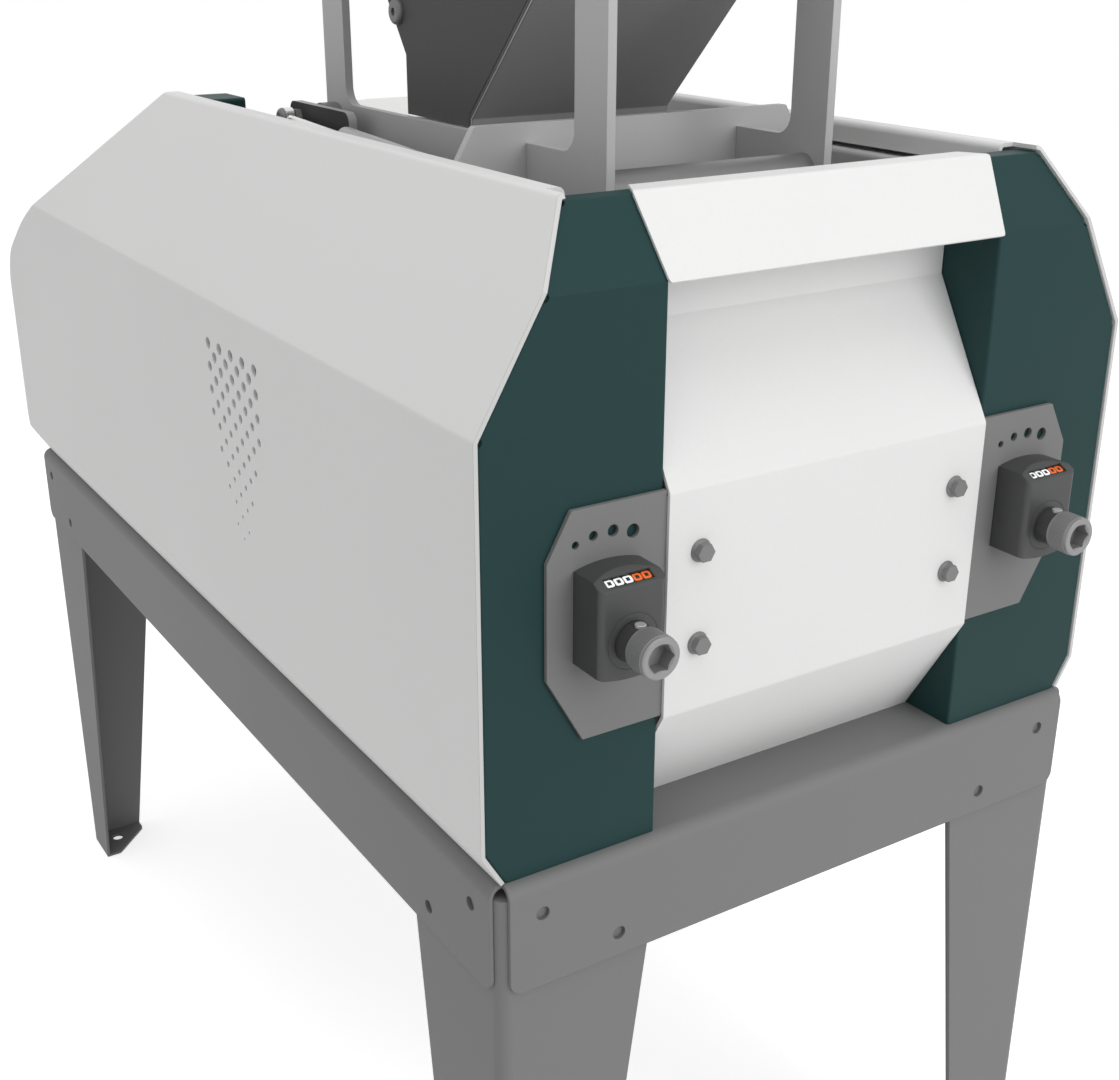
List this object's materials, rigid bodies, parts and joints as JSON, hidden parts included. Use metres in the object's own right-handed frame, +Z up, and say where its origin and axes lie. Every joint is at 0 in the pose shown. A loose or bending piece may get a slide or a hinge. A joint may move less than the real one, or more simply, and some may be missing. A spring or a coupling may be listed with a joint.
{
  "type": "grain mill",
  "caption": "Two-roll grain mill on a folded sheet stand, with a feed hopper and gate, screw-set roll gap with counters, belt drive in a covered body and a discharge under the table.",
  "frame": {"origin": "on the floor, under the middle of the bounding box", "axes": "+X to the right of someone facing the front, +Y to the back along the body, +Z up"},
  "size_m": [0.55, 1.139, 1.1885],
  "materials": {
    "white_paint": "satin powder coat",
    "teal_paint": "satin powder coat",
    "stand_paint": "satin powder coat",
    "frame_steel": "light grey coat",
    "hopper_paint": "dark grey coat",
    "indicator_paint": "grey coat",
    "case_plastic": "fine-grained",
    "wheel_plastic": "black number wheels",
    "clear_pane": "clear",
    "dark_steel": "dark oxide",
    "bright_steel": "zinc plated",
    "roll_steel": "ground",
    "cast_iron": "cast",
    "motor_housing": "painted casting",
    "cowl_plastic": "moulded",
    "spring_paint": "light grey coat",
    "belt_rubber": "fabric-backed"
  },
  "bodies": {
    "mill_body": {"bearing_rails": "frame_steel", "counter_cases": "case_plastic", "counter_wheels": "wheel_plastic", "counter_windows": "clear_pane", "cross_plate": "frame_steel", "discharge_spout": "stand_paint", "drive_belt": "belt_rubber", "frame_foot_bolts": "bright_steel", "front_hood": "white_paint", "front_left_leg": "stand_paint", "front_panel": "white_paint", "front_panel_bolts": "bright_steel", "front_right_leg": "stand_paint", "grist_chutes": "frame_steel", "hopper_bolts": "bright_steel", "hopper_rear_wall": "hopper_paint", "hopper_shell": "hopper_paint", "left_front_cover": "teal_paint", "left_indicator_plate": "indicator_paint", "left_rear_cover": "teal_paint", "left_side_panel": "white_paint", "left_side_plate": "frame_steel", "motor": "motor_housing", "motor_fan_cover": "cowl_plastic", "rear_bearing_blocks": "cast_iron", "rear_left_leg": "stand_paint", "rear_panel": "white_paint", "rear_right_leg": "stand_paint", "rear_roll_bearings": "roll_steel", "right_front_cover": "teal_paint", "right_indicator_plate": "indicator_paint", "right_rear_cover": "teal_paint", "right_side_panel": "white_paint", "right_side_plate": "frame_steel", "screw_supports": "frame_steel", "stand_top": "stand_paint", "tie_bar": "frame_steel", "top_rails": "frame_steel"},
    "carriage": {"front_bearing_blocks": "cast_iron", "front_roll_bearings": "roll_steel"},
    "front_roll_body": {"front_roll": "roll_steel"},
    "rear_roll_body": {"rear_roll": "roll_steel", "roll_pulley": "cast_iron"},
    "motor_rotor": {"motor_shaft": "bright_steel", "motor_pulley": "cast_iron", "motor_fan": "cowl_plastic"},
    "left_screw": {"left_adjusting_screw": "dark_steel", "left_hollow_shaft": "case_plastic", "left_set_screw": "bright_steel"},
    "right_screw": {"right_adjusting_screw": "dark_steel", "right_hollow_shaft": "case_plastic", "right_set_screw": "bright_steel"},
    "left_counter": {"left_units_wheel": "wheel_plastic"},
    "right_counter": {"right_units_wheel": "wheel_plastic"},
    "gate": {"gate_shaft": "bright_steel", "gate_flap": "bright_steel", "gate_lever": "hopper_paint", "lever_bolt": "bright_steel"},
    "spring_body": {"gas_spring_body": "spring_paint"},
    "spring_rod": {"gas_spring_rod": "bright_steel"}
  },
  "joints": [
    {"name": "left_screw_turn", "type": "hinge", "parent": "mill_body", "child": "left_screw", "pos_m": [-0.184, -0.5475, 0.7045], "axis": [0, 1, 0], "range_deg": [-240.5, 570.5]},
    {"name": "right_screw_turn", "type": "hinge", "parent": "mill_body", "child": "right_screw", "pos_m": [0.184, -0.5475, 0.7045], "axis": [0, 1, 0], "range_deg": [-240.5, 570.5]},
    {"name": "roll_gap", "type": "slide", "parent": "mill_body", "child": "carriage", "axis": [0, 1, 0], "range_m": [-0.00396, 0.00167]},
    {"name": "left_counter_turn", "type": "hinge", "parent": "mill_body", "child": "left_counter", "pos_m": [-0.1704, -0.5281, 0.7341], "axis": [1, 0, 0], "range_deg": [-6012.5, 14262.5]},
    {"name": "right_counter_turn", "type": "hinge", "parent": "mill_body", "child": "right_counter", "pos_m": [0.1976, -0.5281, 0.7341], "axis": [1, 0, 0], "range_deg": [-6012.5, 14262.5]},
    {"name": "rear_roll_spin", "type": "hinge", "parent": "mill_body", "child": "rear_roll_body", "pos_m": [0, -0.0515, 0.7045], "axis": [1, 0, 0], "continuous": true},
    {"name": "front_roll_spin", "type": "hinge", "parent": "carriage", "child": "front_roll_body", "pos_m": [0, -0.2135, 0.7045], "axis": [1, 0, 0], "continuous": true},
    {"name": "motor_spin", "type": "hinge", "parent": "mill_body", "child": "motor_rotor", "pos_m": [0, 0.3725, 0.6665], "axis": [1, 0, 0], "continuous": true},
    {"name": "gate_swing", "type": "hinge", "parent": "mill_body", "child": "gate", "pos_m": [0, 0.0445, 0.9475], "axis": [1, 0, 0], "range_deg": [0, 35], "stiffness_Nm_per_rad": 8, "springref_deg": -34.38},
    {"name": "spring_swing", "type": "hinge", "parent": "mill_body", "child": "spring_body", "pos_m": [-0.1325, -0.2515, 0.9395], "axis": [1, 0, 0], "range_deg": [0, 2.89]},
    {"name": "spring_stroke", "type": "slide", "parent": "spring_body", "child": "spring_rod", "axis": [0, 0.9992, 0.0401], "range_m": [-0.00714, 0]}
  ],
  "couplings": [
    {"joint": "left_screw_turn", "follows": "roll_gap", "rad_per_m": -2513.3},
    {"joint": "right_screw_turn", "follows": "roll_gap", "rad_per_m": -2513.3},
    {"joint": "left_counter_turn", "follows": "roll_gap", "rad_per_m": -62832},
    {"joint": "right_counter_turn", "follows": "roll_gap", "rad_per_m": -62832},
    {"joint": "motor_spin", "follows": "rear_roll_spin", "ratio": 2.1719},
    {"joint": "spring_swing", "follows": "gate_swing", "ratio": 0.079797},
    {"joint": "spring_stroke", "follows": "gate_swing", "m_per_rad": -0.011362}
  ]
}
